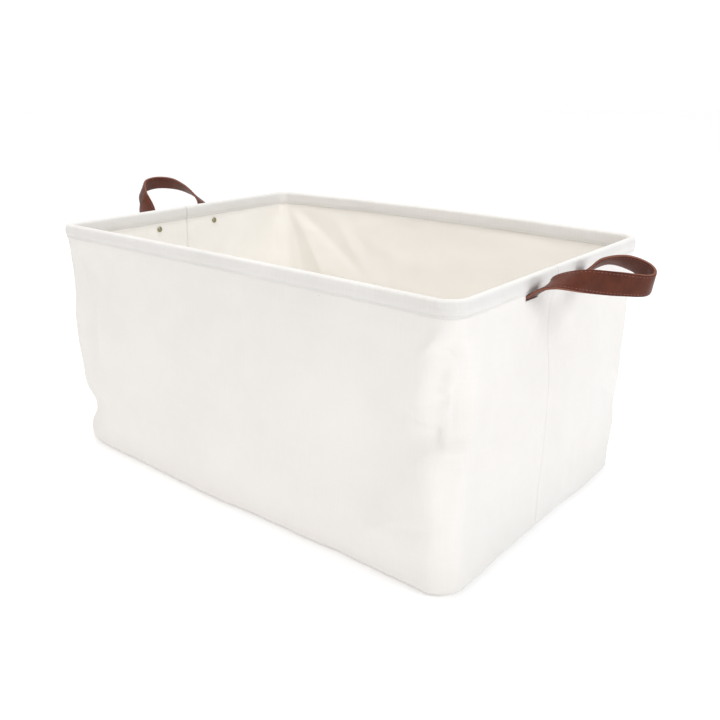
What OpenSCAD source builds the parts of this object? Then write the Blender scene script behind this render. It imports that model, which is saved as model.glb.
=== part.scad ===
// Fabric storage bin with a wired rim and two leather strap handles.
// The long sides run along X, the front long side faces -Y, and the bin stands on z = 0.

/* [Bin] */
// Outside length, along the long sides
bin_l = 600; // [420:10:800]
// Outside width, along the short sides
bin_w = 400; // [300:10:600]
// Height from the surface it stands on to the top of the rim
bin_h = 300; // [200:10:450]
// Outside radius of the upright corners
corner_r = 26; // [16:1:60]

/* [Fabric] */
// Thickness of the outer canvas
canvas_t = 1.2; // [0.8:0.1:2]
// Thickness of the coated lining
lining_t = 0.8; // [0.4:0.1:1.5]
// Thickness of the rim band cloth
band_t = 1; // [0.6:0.1:1.6]
// Height of the rim band outside, from its lower edge to the top of the rim
band_out_h = 17; // [14:1:30]
// Height of the rim band inside
band_in_h = 18; // [14:1:24]
// Distance of the left end seam from the middle of the left side
left_seam_y = -6; // [-20:1:20]
// Distance of the right end seam from the middle of the right side
right_seam_y = -18; // [-20:1:20]

/* [Rim wire] */
// Diameter of the rim wire
wire_d = 5; // [3:0.5:5]
// Length of the crimped sleeve over the joint of the wire
sleeve_l = 40; // [20:5:60]
// Wall of the crimped sleeve
sleeve_t = 0.5; // [0.4:0.1:0.6]

/* [Straps] */
// Width of a strap
strap_w = 23; // [18:1:30]
// Thickness of one of the two leather layers of a strap
leather_t = 1.5; // [1:0.1:2]
// Distance between the two ends of a strap
root_spacing = 100; // [80:5:130]
// Length of the hidden strap end, below the place where it turns out of the wall
strap_end_l = 18; // [16:1:40]
// Distance from the rim band's lower edge down to the middle of the strap where it turns out
exit_drop = 4; // [4:0.5:8]

/* [Rivets] */
// Diameter of a rivet cap
cap_d = 8; // [6:0.5:10]
// Height of a rivet cap
cap_h = 2; // [1.6:0.1:3]
// Diameter of a rivet post
post_d = 3; // [2:0.5:4]
// Diameter of the flat head hidden behind the canvas
head_d = 5.2; // [5:0.1:7]
// Thickness of the flat head
head_t = 0.8; // [0.5:0.1:1.2]

/* [Hidden] */

$fn = 48;
LEFT = -1;
RIGHT = 1;
FRONT = -1;
BACK = 1;

// Air between two layers that lie on each other
layer_gap = 0.1;
// Air between the two halves at an end seam
seam_gap = 0.3;
// Air round a rivet post, and between its end and the bottom of its cap
post_gap = 0.1;
// Air round a strap in its slit
slit_gap = 0.5;
// Length left free of leather where a strap bends at its hinge
flex_gap = 4.5;
// Air between the wire and the ends of the canvas and lining
wire_gap = 0.3;
// Air between the two ends of the wire
wire_joint_gap = 0.6;

// Depths of the layers of a short wall, measured inwards from the outside of the rim band
strap_t = 2 * leather_t;
canvas_in = band_t + layer_gap;
canvas_back = canvas_in + canvas_t;
head_in = canvas_back + layer_gap;
strap_in = head_in + head_t + layer_gap;
lining_in = strap_in + strap_t + layer_gap;
band_leg_in = lining_in + lining_t + layer_gap;
wall_t = band_leg_in + band_t;

// The roll of the band, and the wire that hangs it up: the sleeve on the wire bears against its top
roll_r = wall_t / 2;
roll_z = bin_h - roll_r;
sleeve_bore = wire_d + layer_gap;
sleeve_d = sleeve_bore + 2 * sleeve_t;
wire_z = bin_h - band_t - layer_gap - sleeve_d / 2;
layers_top = wire_z - wire_d / 2 - wire_gap;
base_top = canvas_t + layer_gap;

// Where a strap turns out of the wall, and where its rivet goes
exit_z = bin_h - band_out_h - exit_drop;
slit_top = bin_h - band_out_h - layer_gap;
// A strap climbs through its slit at 45 degrees, so it is that much taller there
slit_bottom = exit_z - strap_t / sqrt(2) - slit_gap;
turn_z = exit_z - (strap_in + strap_t / 2 - canvas_back);
// The head of a rivet lies under the slit and under the bend of its strap
rivet_z = min(slit_bottom, turn_z - strap_t / 2 * tan(22.5)) - head_d / 2 - layer_gap;

// Hinge line of each handle: distance out from the wall, and height over the slits
left_hinge = [13, 9];
right_hinge = [11, 10];

// Middle line of each free strap from its front root to its back root. Each point holds the distance out
// from the wall, the place along the wall in halves of the root spacing, the height over the slits, and
// the twist of the strap in degrees, 90 where it lies flat and 0 where it stands on edge.
left_route = [
    [left_hinge[0], -1, left_hinge[1], 90],
    [29, -0.85, 18, 58],
    [50, -0.63, 30, 24],
    [70, -0.32, 42, 28],
    [71, 0.14, 47, 38],
    [58, 0.56, 45, 44],
    [41, 0.8, 37, 55],
    [24, 0.95, 24, 68],
    [left_hinge[0], 1, left_hinge[1], 90]
];
right_route = [
    [right_hinge[0], -1, right_hinge[1], 90],
    [22, -0.94, 17, 74],
    [43, -0.6, 18, 33],
    [66, -0.17, 15, 0],
    [86, 0.33, 12, -15],
    [79, 0.74, 17, 8],
    [54, 0.96, 23, 38],
    [28, 1.02, 21, 70],
    [right_hinge[0], 1, right_hinge[1], 90]
];
// Rings between two points of a route
route_steps = 6;

canvas_color = "ivory";
lining_color = "linen";
band_color = "gainsboro";
leather_color = "saddlebrown";
leather_back_color = "sienna";
steel_color = "silver";
rivet_color = "darkkhaki";

function handle_y(side) = side == LEFT ? left_seam_y : right_seam_y;
function root_y(side, end) = handle_y(side) + end * root_spacing / 2;
function hinge(side) = side == LEFT ? left_hinge : right_hinge;
function route(side) = side == LEFT ? left_route : right_route;

// ---- Shapes that repeat ----

module rounded_rectangle(l, w, r) {
    square([l - 2 * r, w], center = true);
    square([l, w - 2 * r], center = true);
    for (x = [-1, 1], y = [-1, 1])
        translate([x * (l / 2 - r), y * (w / 2 - r)]) circle(r);
}

// Outline of the bin, moved inwards from the outside of the rim band
module bin_outline(inset) {
    rounded_rectangle(bin_l - 2 * inset, bin_w - 2 * inset, corner_r - inset);
}

module wall_ring(inset, t, z_low, z_high) {
    translate([0, 0, z_low])
        linear_extrude(z_high - z_low)
            difference() {
                bin_outline(inset);
                bin_outline(inset + t);
            }
}

// Everything on one side of the two end seams
module seam_half(end) {
    far = end * bin_w;
    left = left_seam_y + end * seam_gap / 2;
    right = right_seam_y + end * seam_gap / 2;
    linear_extrude(2 * bin_h)
        polygon([[-bin_l, left], [0, left], [0, right], [bin_l, right], [bin_l, far], [-bin_l, far]]);
}

// Carries an outline round the bin: x = 0 is the outside of the rim band and x grows inwards
module round_the_rim() {
    for (turn = [0:3]) {
        along_x = turn % 2 == 1;
        side_l = (along_x ? bin_l : bin_w) - 2 * corner_r;
        reach = (along_x ? bin_w : bin_l) / 2;
        rotate(90 * turn) {
            translate([reach, 0, 0]) mirror([1, 0, 0]) rotate([90, 0, 0])
                linear_extrude(side_l, center = true) children();
            translate([reach - corner_r, side_l / 2, 0])
                rotate_extrude(angle = 90)
                    translate([corner_r, 0]) mirror([1, 0]) children();
        }
    }
}

// Puts a part on a short wall: x = 0 is the outside of the rim band and x grows inwards
module on_end(side) {
    translate([side * bin_l / 2, 0, 0])
        mirror([side == RIGHT ? 1 : 0, 0, 0]) children();
}

// A round solid that lies across a short wall, from one depth to another
module across_wall(side, end, d, from, to) {
    on_end(side)
        translate([from, root_y(side, end), rivet_z])
            rotate([0, 90, 0]) cylinder(d = d, h = to - from);
}

// ---- Fabric ----

module strap_slits() {
    for (side = [LEFT, RIGHT], end = [FRONT, BACK])
        on_end(side)
            translate([0, root_y(side, end) - strap_w / 2 - slit_gap, slit_bottom])
                cube([head_in, strap_w + 2 * slit_gap, slit_top - slit_bottom]);
}

module post_holes() {
    for (side = [LEFT, RIGHT], end = [FRONT, BACK])
        across_wall(side, end, post_d + 2 * post_gap, strap_in - layer_gap, band_leg_in);
}

module outer_panel(end) {
    color(canvas_color)
        intersection() {
            difference() {
                wall_ring(canvas_in, canvas_t, base_top, layers_top);
                strap_slits();
            }
            seam_half(end);
        }
}

module lining_panel(end) {
    color(lining_color)
        intersection() {
            difference() {
                wall_ring(lining_in, lining_t, base_top, layers_top);
                post_holes();
            }
            seam_half(end);
        }
}

module outer_base() {
    color(canvas_color)
        linear_extrude(canvas_t) bin_outline(canvas_in);
}

module lining_base() {
    color(lining_color)
        translate([0, 0, base_top])
            linear_extrude(lining_t) bin_outline(lining_in + lining_t + layer_gap);
}

// Section of the rim band: an outer leg, a roll over the wire and an inner leg
module band_section() {
    translate([0, bin_h - band_out_h]) square([band_t, band_out_h - roll_r]);
    translate([band_leg_in, bin_h - band_in_h]) square([band_t, band_in_h - roll_r]);
    difference() {
        translate([roll_r, roll_z]) circle(roll_r);
        translate([roll_r, roll_z]) circle(roll_r - band_t);
        translate([0, roll_z - wall_t]) square(wall_t);
    }
}

module rim_band(end) {
    color(band_color)
        intersection() {
            round_the_rim() band_section();
            seam_half(end);
        }
}

// ---- Rim wire ----

module rim_wire() {
    color(steel_color)
        difference() {
            round_the_rim() translate([roll_r, wire_z]) circle(d = wire_d);
            translate([-wire_joint_gap / 2, bin_w / 2 - wall_t, wire_z - wire_d])
                cube([wire_joint_gap, wall_t, 2 * wire_d]);
        }
}

module wire_sleeve() {
    color(steel_color)
        translate([-sleeve_l / 2, bin_w / 2 - roll_r, wire_z])
            rotate([0, 90, 0])
                difference() {
                    cylinder(d = sleeve_d, h = sleeve_l);
                    translate([0, 0, -1]) cylinder(d = sleeve_bore, h = sleeve_l + 2);
                }
}

// ---- Free part of a strap ----

function spline(a, b, c, d, f) =
    0.5 * (2 * b + (c - a) * f + (2 * a - 5 * b + 4 * c - d) * f ^ 2 + (3 * b - a - 3 * c + d) * f ^ 3);

function spline_slope(a, b, c, d, f) =
    0.5 * ((c - a) + 2 * (2 * a - 5 * b + 4 * c - d) * f + 3 * (3 * b - a - 3 * c + d) * f ^ 2);

function unit(v) = v / norm(v);
function first_three(v) = [v[0], v[1], v[2]];

// A point past the root of a strap, placed so that the strap leaves its hinge line at a right angle
function past_root(root, next) =
    [2 * root[0] - next[0], next[1], 2 * root[2] - next[2], 2 * root[3] - next[3]];

// The route in millimetres, with one point added past each end
function route_points(side) =
    let(
        mm = [for (p = route(side))
            [side * (bin_l / 2 + p[0]), handle_y(side) + p[1] * root_spacing / 2, exit_z + p[2], p[3]]],
        last = len(mm) - 1
    )
    concat([past_root(mm[0], mm[1])], mm, [past_root(mm[last], mm[last - 1])]);

// Four corners of a strap layer's section, between two heights over the middle of the strap
function strap_corners(side, p, i, f, low, high) =
    let(
        middle = spline(p[i], p[i + 1], p[i + 2], p[i + 3], f),
        along = unit(first_three(spline_slope(p[i], p[i + 1], p[i + 2], p[i + 3], f))),
        upright = unit([0, 0, 1] - along[2] * along),
        sideways = cross(along, upright) * -side,
        across = cos(middle[3]) * upright + sin(middle[3]) * sideways,
        out = cross(along, across) * side,
        centre = first_three(middle)
    )
    [
        centre + across * strap_w / 2 + out * low,
        centre + across * strap_w / 2 + out * high,
        centre - across * strap_w / 2 + out * high,
        centre - across * strap_w / 2 + out * low
    ];

module strap_layer(side, low, high) {
    p = route_points(side);
    spans = len(p) - 3;
    rings = concat(
        [for (i = [0:spans - 1], s = [0:route_steps - 1]) strap_corners(side, p, i, s / route_steps, low, high)],
        [strap_corners(side, p, spans - 1, 1, low, high)]
    );
    last = len(rings) - 1;
    // Both broad faces are split along the same diagonal, so the two layers stay parallel where they twist
    walls = [for (r = [0:last - 1], k = [0:3])
        let(corner = 4 * r + k, next = 4 * r + (k + 1) % 4)
        each k == 3 ? [[corner, next, corner + 4], [next, next + 4, corner + 4]]
            : [[corner, next, next + 4], [corner, next + 4, corner + 4]]];
    ends = [[2, 1, 0], [3, 2, 0], [4 * last, 4 * last + 1, 4 * last + 2], [4 * last, 4 * last + 2, 4 * last + 3]];
    faces = concat(walls, ends);
    polyhedron(
        points = [for (ring = rings, corner = ring) corner],
        faces = side == RIGHT ? faces : [for (face = faces) [face[2], face[1], face[0]]]
    );
}

module strap_outer_layer(side) {
    color(leather_color) strap_layer(side, layer_gap / 2, leather_t);
}

module strap_inner_layer(side) {
    color(leather_back_color) strap_layer(side, -leather_t, -layer_gap / 2);
}

// ---- Hidden ends of a strap ----

// Middle line of a strap end, as depth in from the outside of the band and height: up inside the wall,
// then out through the slit, stopping short of the hinge
function end_path(side) =
    let(
        middle = strap_in + strap_t / 2,
        turn = [canvas_back, exit_z],
        hinge_at = [-hinge(side)[0], exit_z + hinge(side)[1]],
        stop = hinge_at + unit(turn - hinge_at) * flex_gap
    )
    [[middle, exit_z - strap_end_l], [middle, turn_z], turn, stop];

function left_normal(v) = [-v[1], v[0]] / norm(v);

// A line beside the path, at one distance from it
function beside(path, distance) =
    let(
        normals = [for (i = [0:len(path) - 2]) left_normal(path[i + 1] - path[i])],
        last = len(path) - 1
    )
    [for (i = [0:last])
        let(
            before = normals[max(i - 1, 0)],
            after = normals[min(i, last - 1)]
        )
        path[i] + (before + after) * distance / (1 + before * after)];

function reversed(list) = [for (i = [len(list) - 1:-1:0]) list[i]];

module strap_end_layer(side, end, low, high) {
    path = end_path(side);
    difference() {
        on_end(side)
            translate([0, root_y(side, end) + strap_w / 2, 0])
                rotate([90, 0, 0])
                    linear_extrude(strap_w)
                        polygon(concat(beside(path, low), reversed(beside(path, high))));
        across_wall(side, end, post_d + 2 * post_gap, strap_in - layer_gap, lining_in);
    }
}

module strap_end_outer_layer(side, end) {
    color(leather_color) strap_end_layer(side, end, -leather_t, -layer_gap / 2);
}

module strap_end_inner_layer(side, end) {
    color(leather_back_color) strap_end_layer(side, end, layer_gap / 2, leather_t);
}

// ---- Rivets ----

module rivet_post(side, end) {
    color(rivet_color) {
        across_wall(side, end, head_d, head_in, head_in + head_t);
        across_wall(side, end, post_d, head_in, band_leg_in + cap_h / 2);
    }
}

// A shallow dome, hollow at the back where the post is pressed in
module rivet_cap(side, end) {
    dome_r = (cap_d ^ 2 / 4 + cap_h ^ 2) / (2 * cap_h);
    color(rivet_color)
        difference() {
            on_end(side)
                translate([band_leg_in, root_y(side, end), rivet_z])
                    rotate([0, 90, 0])
                        intersection() {
                            cylinder(d = cap_d, h = cap_h);
                            translate([0, 0, cap_h - dome_r]) sphere(dome_r);
                        }
            across_wall(side, end, post_d + 2 * post_gap, lining_in, band_leg_in + cap_h / 2 + post_gap);
        }
}

// ---- Nodes ----

outer_panel(FRONT);  // outer_front_panel
outer_panel(BACK);  // outer_back_panel
outer_base();
lining_panel(FRONT);  // lining_front_panel
lining_panel(BACK);  // lining_back_panel
lining_base();
rim_band(FRONT);  // rim_band_front
rim_band(BACK);  // rim_band_back
rim_wire();
wire_sleeve();
strap_outer_layer(LEFT);  // left_strap_outer_layer
strap_inner_layer(LEFT);  // left_strap_inner_layer
strap_outer_layer(RIGHT);  // right_strap_outer_layer
strap_inner_layer(RIGHT);  // right_strap_inner_layer
strap_end_outer_layer(LEFT, FRONT);  // left_front_end_outer_layer
strap_end_inner_layer(LEFT, FRONT);  // left_front_end_inner_layer
strap_end_outer_layer(LEFT, BACK);  // left_back_end_outer_layer
strap_end_inner_layer(LEFT, BACK);  // left_back_end_inner_layer
strap_end_outer_layer(RIGHT, FRONT);  // right_front_end_outer_layer
strap_end_inner_layer(RIGHT, FRONT);  // right_front_end_inner_layer
strap_end_outer_layer(RIGHT, BACK);  // right_back_end_outer_layer
strap_end_inner_layer(RIGHT, BACK);  // right_back_end_inner_layer
rivet_post(LEFT, FRONT);  // left_front_rivet_post
rivet_cap(LEFT, FRONT);  // left_front_rivet_cap
rivet_post(LEFT, BACK);  // left_back_rivet_post
rivet_cap(LEFT, BACK);  // left_back_rivet_cap
rivet_post(RIGHT, FRONT);  // right_front_rivet_post
rivet_cap(RIGHT, FRONT);  // right_front_rivet_cap
rivet_post(RIGHT, BACK);  // right_back_rivet_post
rivet_cap(RIGHT, BACK);  // right_back_rivet_cap
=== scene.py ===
import math

import bmesh
import bpy
from mathutils import Matrix, Vector, noise


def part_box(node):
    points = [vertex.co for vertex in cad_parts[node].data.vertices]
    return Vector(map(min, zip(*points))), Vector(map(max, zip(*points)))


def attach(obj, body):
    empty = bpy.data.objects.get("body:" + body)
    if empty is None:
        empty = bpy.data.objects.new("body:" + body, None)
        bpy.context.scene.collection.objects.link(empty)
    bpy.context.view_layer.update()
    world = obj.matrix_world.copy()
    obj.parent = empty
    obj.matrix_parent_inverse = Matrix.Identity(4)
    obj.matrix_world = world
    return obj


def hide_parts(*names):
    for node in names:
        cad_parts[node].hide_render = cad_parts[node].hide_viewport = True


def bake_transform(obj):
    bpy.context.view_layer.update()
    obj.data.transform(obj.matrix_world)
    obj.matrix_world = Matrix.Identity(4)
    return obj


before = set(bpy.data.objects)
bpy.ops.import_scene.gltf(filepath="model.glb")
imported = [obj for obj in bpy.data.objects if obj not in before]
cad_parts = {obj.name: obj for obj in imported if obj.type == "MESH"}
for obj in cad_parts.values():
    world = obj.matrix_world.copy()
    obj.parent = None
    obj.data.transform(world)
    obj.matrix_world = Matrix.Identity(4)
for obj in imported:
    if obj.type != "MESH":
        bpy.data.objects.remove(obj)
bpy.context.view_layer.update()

# ---- Sizes of the bin, in metres ----

BIN_L, BIN_W, BIN_H = 0.600, 0.400, 0.300
CORNER_R = 0.026
LEFT, RIGHT = -1, 1
FRONT, BACK = -1, 1
# Place of the end seam on each short wall
SEAM_Y = {LEFT: -0.006, RIGHT: -0.018}

# Thickness of each cloth, and how deep it lies inside the outline of the rim
BAND_T, BAND_OUT_H, BAND_IN_H = 0.0010, 0.017, 0.018
CANVAS_T, LINING_T = 0.0012, 0.0008
CANVAS_IN, LINING_IN, BAND_LEG_IN = 0.0011, 0.0064, 0.0073
WALL_T = 0.0083
ROLL_R = WALL_T / 2
WIRE_Z = BIN_H - ROLL_R
WIRE_D = 0.005
LAYERS_TOP = 0.2930

STRAP_W, LEATHER_T = 0.023, 0.0015
# Half the distance between the two ends of a strap, and the height where they come out
ROOT_HALF = 0.050
EXIT_Z = 0.279
RIVET_Z = sum(corner.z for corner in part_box("left_front_rivet_cap")) / 2
SLIT_LOW, SLIT_HIGH = 0.2764, 0.2829
SLIT_HALF = STRAP_W / 2 + 0.0005

# ---- Camera, floor and lights ----


def aim(thing, target):
    thing.rotation_euler = (Vector(target) - thing.location).to_track_quat("-Z", "Y").to_euler()


def link(thing):
    bpy.context.scene.collection.objects.link(thing)
    return thing


camera_data = bpy.data.cameras.new("camera")
camera_data.lens = 40.46
camera_data.sensor_width = 36
camera_data.clip_end = 50
camera = link(bpy.data.objects.new("camera", camera_data))
camera.location = (0.6516, -0.7533, 0.4812)
camera.rotation_euler = (math.radians(70.48), 0, math.radians(39.60))
bpy.context.scene.camera = camera
bpy.context.scene.view_settings.view_transform = "Standard"


def softbox(name, place, target, size, watts, tint):
    data = bpy.data.lights.new(name, "AREA")
    data.size = size
    data.energy = watts
    data.color = tint
    lamp = link(bpy.data.objects.new(name, data))
    lamp.location = place
    aim(lamp, target)


softbox("key", (2.2, 0.2, 1.2), (0, 0, 0.15), 0.7, 12.5, (0.955, 0.98, 1.0))
softbox("top", (-0.02, -0.05, 1.7), (0, 0, 0.1), 0.30, 8.5, (1.0, 0.99, 0.975))


# ---- Shader maths ----


class Value:
    """A number that varies over a surface, in sums with other values and plain numbers."""

    def __init__(self, finish, socket):
        self.finish, self.socket = finish, socket

    def maths(self, operation, *others):
        sockets = {k: v for k, v in enumerate(others)}
        return self.finish.node("Math", {"operation": operation}, sockets)

    def __add__(self, other):
        return self.maths("ADD", self, other)

    def __radd__(self, other):
        return self.maths("ADD", other, self)

    def __sub__(self, other):
        return self.maths("SUBTRACT", self, other)

    def __rsub__(self, other):
        return self.maths("SUBTRACT", other, self)

    def __mul__(self, other):
        return self.maths("MULTIPLY", self, other)

    def __rmul__(self, other):
        return self.maths("MULTIPLY", other, self)

    def __truediv__(self, other):
        return self.maths("DIVIDE", self, other)

    def __abs__(self):
        return self.maths("ABSOLUTE", self)

    def cosine(self):
        return self.maths("COSINE", self)

    def between(self, low, high):
        """0 at low and 1 at high, with a soft start and end."""
        return self.finish.node(
            "MapRange",
            {"interpolation_type": "SMOOTHSTEP"},
            {"Value": self, "From Min": low, "From Max": high},
        )


class Finish:
    """A material in the making."""

    def __init__(self, name):
        self.material = bpy.data.materials.new(name)
        self.material.use_nodes = True
        self.tree = self.material.node_tree
        self.tree.nodes.clear()

    def node(self, kind, settings=None, sockets=None, output=0):
        made = self.tree.nodes.new("ShaderNode" + kind)
        for key, value in (settings or {}).items():
            setattr(made, key, value)
        for key, value in (sockets or {}).items():
            if isinstance(value, Value):
                self.tree.links.new(value.socket, made.inputs[key])
            else:
                made.inputs[key].default_value = value
        return Value(self, made.outputs[output])

    def attribute(self, name, output="Fac"):
        made = self.node("Attribute", {"attribute_name": name}, output=2)
        return Value(self, made.socket.node.outputs[output])

    def cloth_place(self):
        """Place on the flat cloth: x along its length and y up, in metres."""
        return self.node("UVMap", {"uv_map": "cloth"})

    def parts_of(self, vector):
        made = self.node("SeparateXYZ", sockets={0: vector})
        outputs = made.socket.node.outputs
        return Value(self, outputs[0]), Value(self, outputs[1])

    def stretched(self, vector, scale):
        return self.node("Mapping", sockets={"Vector": vector, "Scale": scale})

    def cloud(self, vector, scale, detail=2.0, roughness=0.5):
        """Noise from 0 to 1."""
        return self.node(
            "TexNoise",
            {"noise_dimensions": "3D"},
            {"Vector": vector, "Scale": scale, "Detail": detail, "Roughness": roughness},
        )

    def mix(self, share, a, b):
        """Colour a where share is 0 and b where it is 1."""
        made = self.node("Mix", {"data_type": "RGBA"}, {0: share}, output=2)
        for key, tint in ((6, a), (7, b)):
            if isinstance(tint, Value):
                self.tree.links.new(tint.socket, made.socket.node.inputs[key])
            else:
                made.socket.node.inputs[key].default_value = (*tint, 1)
        return made

    def bump(self, height, distance, strength=1.0):
        return self.node("Bump", sockets={"Height": height, "Distance": distance, "Strength": strength})

    def surface(self, **sockets):
        names = {key: key.replace("_", " ") for key in sockets}
        values = {names[key]: value for key, value in sockets.items()}
        shader = self.node("BsdfPrincipled", sockets=values)
        output = self.tree.nodes.new("ShaderNodeOutputMaterial")
        self.tree.links.new(shader.socket, output.inputs["Surface"])
        return self.material


def weave(finish, across, up, pitch):
    """Height of a plain weave, from 0 to 1."""
    warp = (across * (2 * math.pi / pitch)).cosine()
    weft = (up * (2 * math.pi / pitch)).cosine()
    over = (across * (math.pi / pitch)).cosine() * (up * (math.pi / pitch)).cosine()
    return warp * 0.18 + weft * 0.18 + over * 0.14 + 0.5


def cloth_finish(name, base, dark, fleck_tint, pitch, thread_depth, streaks, roughness, sheen):
    """Cotton cloth with a plain weave, uneven yarns, a little mottling and a few seed flecks."""
    finish = Finish(name)
    place = finish.cloth_place()
    across, up = finish.parts_of(place)
    height = weave(finish, across, up, pitch)
    warp_yarns = finish.cloud(finish.stretched(place, (900, 24, 1)), 1.0, 2.0, 0.6)
    weft_yarns = finish.cloud(finish.stretched(place, (20, 900, 1)), 1.0, 2.0, 0.6)
    mottle = finish.cloud(place, 9.0, 4.0, 0.55)
    fleck_cells = finish.node("TexVoronoi", {"feature": "F1"}, {"Vector": place, "Scale": 26.0})
    fleck_size = finish.cloud(place, 11.0, 0.0)
    fleck = (1 - fleck_cells.between(0.010, 0.028)) * fleck_size.between(0.52, 0.66)
    tone = (warp_yarns.between(0.3, 0.75) * streaks[0] + weft_yarns.between(0.3, 0.75) * streaks[1]
            + mottle.between(0.35, 0.7) * 0.35)
    colour = finish.mix(fleck * 0.55, finish.mix(tone, base, dark), fleck_tint)
    yarns = height * 0.5 + warp_yarns * streaks[0] * 1.6 + weft_yarns * streaks[1] * 1.6
    return finish.surface(
        Base_Color=colour,
        Roughness=roughness,
        Sheen_Weight=sheen,
        Specular_IOR_Level=0.25,
        Normal=finish.bump(yarns, thread_depth),
    )


def leather_finish(name, face, dark, edge, gloss):
    """Split cowhide: fine grain, worn tone, a burnished darker border and a pale raw cut edge."""
    finish = Finish(name)
    place = finish.node("TexCoord", output=3)
    across = abs(finish.attribute("across"))
    grain = finish.node("TexVoronoi", {"feature": "DISTANCE_TO_EDGE"}, {"Vector": place, "Scale": 1100.0})
    pores = finish.cloud(place, 2600.0, 3.0, 0.6)
    wear = finish.cloud(place, 60.0, 4.0, 0.6)
    pull = finish.cloud(finish.stretched(place, (300, 300, 90)), 1.0, 2.0)
    tone = wear.between(0.3, 0.75) * 0.6 + pull.between(0.3, 0.8) * 0.3
    border = across.between(0.80, 0.97)
    cut = across.between(0.985, 0.999)
    colour = finish.mix(cut, finish.mix(border * 0.35, finish.mix(tone, face, dark), dark), edge)
    height = grain.between(0.0, 0.35) * 0.6 + pores * 0.4
    return finish.surface(
        Base_Color=colour,
        Roughness=gloss + wear.between(0.3, 0.8) * 0.14 + cut * 0.35,
        Specular_IOR_Level=0.13,
        Coat_Weight=0.02,
        Coat_Roughness=0.25,
        Normal=finish.bump(height, 0.00012, 0.7),
    )


def thread_finish(name, tint, dark):
    finish = Finish(name)
    place = finish.node("TexCoord", output=3)
    twist = finish.cloud(place, 3000.0, 2.0)
    return finish.surface(
        Base_Color=finish.mix(twist.between(0.3, 0.7), tint, dark),
        Roughness=0.8,
        Sheen_Weight=0.2,
        Normal=finish.bump(twist, 0.0001),
    )


def metal_finish(name, tint, dark, roughness, scale):
    """Plated metal with a little tarnish and fine scratches."""
    finish = Finish(name)
    place = finish.node("TexCoord", output=3)
    tarnish = finish.cloud(place, scale, 4.0, 0.65)
    scratch = finish.cloud(finish.stretched(place, (scale * 14, scale * 2, scale * 14)), 1.0, 2.0)
    worn = tarnish.between(0.38, 0.68)
    return finish.surface(
        Base_Color=finish.mix(worn, tint, dark),
        Metallic=1.0,
        Roughness=worn * 0.25 + scratch * 0.1 + roughness,
        Normal=finish.bump(scratch, 0.00003),
    )


CANVAS = cloth_finish("canvas", (0.825, 0.80, 0.775), (0.77, 0.74, 0.705), (0.33, 0.25, 0.15),
                      0.0009, 0.00022, (0.22, 0.16), 0.9, 0.15)
LINING = cloth_finish("lining", (0.905, 0.88, 0.84), (0.87, 0.84, 0.79), (0.6, 0.52, 0.4),
                      0.0007, 0.00008, (0.10, 0.10), 0.72, 0.05)
RIM_BAND = cloth_finish("rim_band", (0.775, 0.76, 0.74), (0.68, 0.66, 0.635), (0.36, 0.30, 0.22),
                        0.0009, 0.00026, (0.24, 0.12), 0.92, 0.15)
CUT_EDGE = (0.24, 0.10, 0.07)
LEATHER_OUTER = leather_finish("leather_outer", (0.112, 0.030, 0.015), (0.062, 0.017, 0.010), CUT_EDGE, 0.36)
LEATHER_INNER = leather_finish("leather_inner", (0.108, 0.031, 0.017), (0.064, 0.019, 0.012), CUT_EDGE, 0.42)
BRASS = metal_finish("antique_brass", (0.40, 0.38, 0.25), (0.22, 0.20, 0.12), 0.30, 900.0)
STEEL = metal_finish("spring_steel", (0.55, 0.55, 0.56), (0.36, 0.36, 0.37), 0.25, 400.0)
WHITE_THREAD = thread_finish("white_thread", (0.84, 0.82, 0.79), (0.70, 0.68, 0.64))
RED_THREAD = thread_finish("red_thread", (0.30, 0.10, 0.08), (0.18, 0.055, 0.045))


def floor_finish():
    finish = Finish("floor")
    place = finish.node("TexCoord", output=3)
    shade = finish.cloud(place, 3.0, 2.0)
    return finish.surface(
        Base_Color=finish.mix(shade * 0.5, (0.93, 0.93, 0.93), (0.91, 0.91, 0.91)), Roughness=0.95,
        Emission_Color=(1, 1, 1, 1), Emission_Strength=0.16,
    )


# The way in which the surround changes, the stops along it from 0 to 1, and its strength
SKY_WAY = (0.75, 0.60, 0.28)
SKY_STOPS = [
    (0.05, (0.06, 0.055, 0.05)), (0.25, (0.98, 0.96, 0.94)),
    (0.71, (0.97, 0.975, 0.985)), (0.87, (0.36, 0.375, 0.39)),
]
SKY_STRENGTH = 1.16


def sky():
    """Soft studio surround: white behind, dim and warm at the left front, dimmer beside the key light."""
    world = bpy.data.worlds.new("studio")
    bpy.context.scene.world = world
    world.use_nodes = True
    tree = world.node_tree
    tree.nodes.clear()
    place = tree.nodes.new("ShaderNodeTexCoord")
    turn = tree.nodes.new("ShaderNodeVectorMath")
    turn.operation = "DOT_PRODUCT"
    turn.inputs[1].default_value = SKY_WAY
    tree.links.new(place.outputs["Generated"], turn.inputs[0])
    share = tree.nodes.new("ShaderNodeMapRange")
    share.inputs["From Min"].default_value = -1.0
    tree.links.new(turn.outputs["Value"], share.inputs["Value"])
    tint = tree.nodes.new("ShaderNodeValToRGB")
    for _ in SKY_STOPS[2:]:
        tint.color_ramp.elements.new(0.5)
    for stop, (share_along, colour) in zip(tint.color_ramp.elements, SKY_STOPS):
        stop.position = share_along
        stop.color = (*colour, 1)
    tree.links.new(share.outputs[0], tint.inputs[0])
    back = tree.nodes.new("ShaderNodeBackground")
    back.inputs["Strength"].default_value = SKY_STRENGTH
    tree.links.new(tint.outputs[0], back.inputs["Color"])
    output = tree.nodes.new("ShaderNodeOutputWorld")
    tree.links.new(back.outputs[0], output.inputs["Surface"])


sky()

# ---- Pieces ----


def piece(name, bm, material, smooth=True):
    """A finished mesh, at the origin."""
    mesh = bpy.data.meshes.new(name)
    bm.to_mesh(mesh)
    bm.free()
    mesh.materials.append(material)
    if smooth:
        mesh.polygons.foreach_set("use_smooth", [True] * len(mesh.polygons))
    return link(bpy.data.objects.new(name, mesh))


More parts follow.
